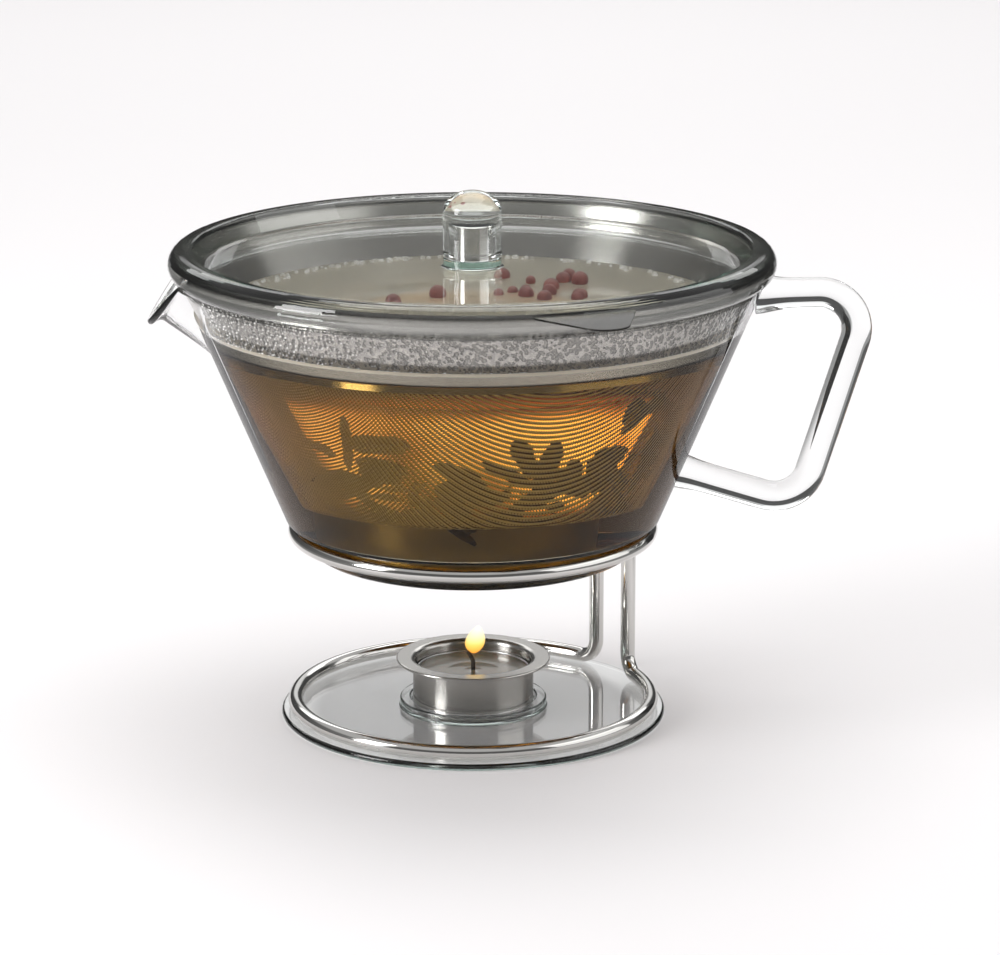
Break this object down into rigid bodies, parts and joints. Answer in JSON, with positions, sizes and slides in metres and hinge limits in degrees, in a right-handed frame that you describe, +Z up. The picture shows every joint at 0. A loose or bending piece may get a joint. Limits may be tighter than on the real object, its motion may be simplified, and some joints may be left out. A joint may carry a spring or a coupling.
{
  "type": "glass teapot on a tea-light warmer",
  "caption": "Conical glass teapot with a lift-out steel strainer and a glass lid, on a wire stand over a tea light.",
  "frame": {"origin": "middle of the underside of the base plate, on the pot's axis", "axes": "+Z up; +X toward the handle, with the spout toward -X"},
  "size_m": [0.2371, 0.2131, 0.177],
  "materials": {
    "plate_glass": "clear, with a green edge",
    "wire_steel": "satin",
    "holder_steel": "brushed",
    "tealight_aluminium": "thin foil",
    "wax": "paraffin wax",
    "wick_char": "charred cotton",
    "pot_glass": "clear borosilicate",
    "strainer_steel": "satin",
    "mesh_steel": "fine perforated sheet",
    "lid_glass": "clear, with a green edge",
    "core_steel": "satin"
  },
  "bodies": {
    "plate": {"base_plate": "plate_glass"},
    "frame": {"stand_wire": "wire_steel", "support_ring": "wire_steel"},
    "holder": {"candle_holder": "holder_steel"},
    "tealight": {"tealight_shell": "tealight_aluminium", "tealight_wax": "wax", "wick_sustainer": "tealight_aluminium", "wick": "wick_char"},
    "pot": {"pot_body": "pot_glass", "pot_handle": "pot_glass"},
    "strainer": {"strainer_collar": "strainer_steel", "collar_hem": "strainer_steel", "strainer_mesh": "mesh_steel", "strainer_pan": "strainer_steel"},
    "lid": {"lid_plate": "lid_glass", "lid_knob": "lid_glass", "knob_core": "core_steel"}
  },
  "joints": [
    {"name": "frame_lift", "type": "slide", "parent": "plate", "child": "frame", "axis": [0, 0, 1], "range_m": [0, 0.04]},
    {"name": "pot_lift", "type": "slide", "parent": "frame", "child": "pot", "axis": [0, 0, 1], "range_m": [0, 0.08]},
    {"name": "strainer_lift", "type": "slide", "parent": "pot", "child": "strainer", "axis": [0, 0, 1], "range_m": [0, 0.1]},
    {"name": "lid_lift", "type": "slide", "parent": "strainer", "child": "lid", "axis": [0, 0, 1], "range_m": [0, 0.05]},
    {"name": "holder_lift", "type": "slide", "parent": "plate", "child": "holder", "axis": [0, 0, 1], "range_m": [0, 0.015]},
    {"name": "tealight_lift", "type": "slide", "parent": "holder", "child": "tealight", "axis": [0, 0, 1], "range_m": [0, 0.016]}
  ]
}
